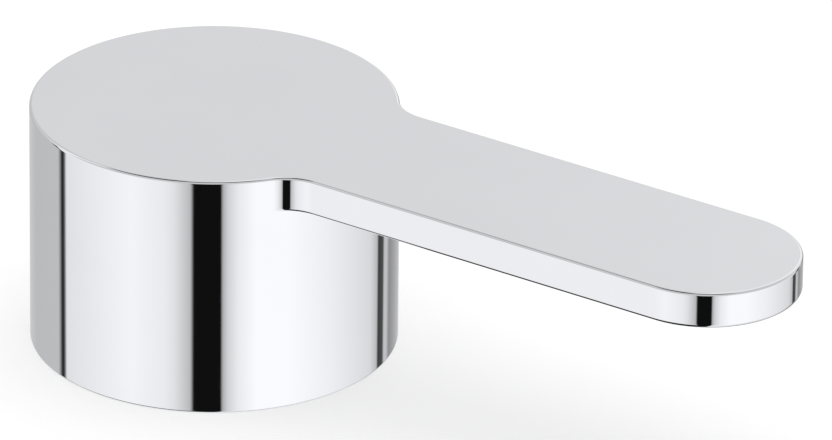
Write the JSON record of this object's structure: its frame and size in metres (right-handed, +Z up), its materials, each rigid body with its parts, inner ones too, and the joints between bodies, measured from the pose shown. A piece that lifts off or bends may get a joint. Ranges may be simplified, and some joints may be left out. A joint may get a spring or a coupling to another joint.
{
  "type": "tap handle",
  "caption": "Chrome lever handle for a single-lever mixer tap: hollow round drum with a flat lever flush with its top, a square spindle socket inside and a set screw at the back.",
  "frame": {"origin": "centre of the drum's open rim, on the drum's axis", "axes": "+Z up along the drum's axis from the rim to the flat top, +X along the lever towards its tip"},
  "size_m": [0.1077, 0.046, 0.0315],
  "materials": {
    "chrome_plate": "mirror polished chrome plate on cast zinc alloy, bare casting inside the drum",
    "screw_steel": "plain stainless steel",
    "plug_chrome": "smooth moulded plug in chrome grey"
  },
  "bodies": {
    "root": {"handle_body": "chrome_plate", "set_screw": "screw_steel", "cover_plug": "plug_chrome"}
  },
  "joints": []
}
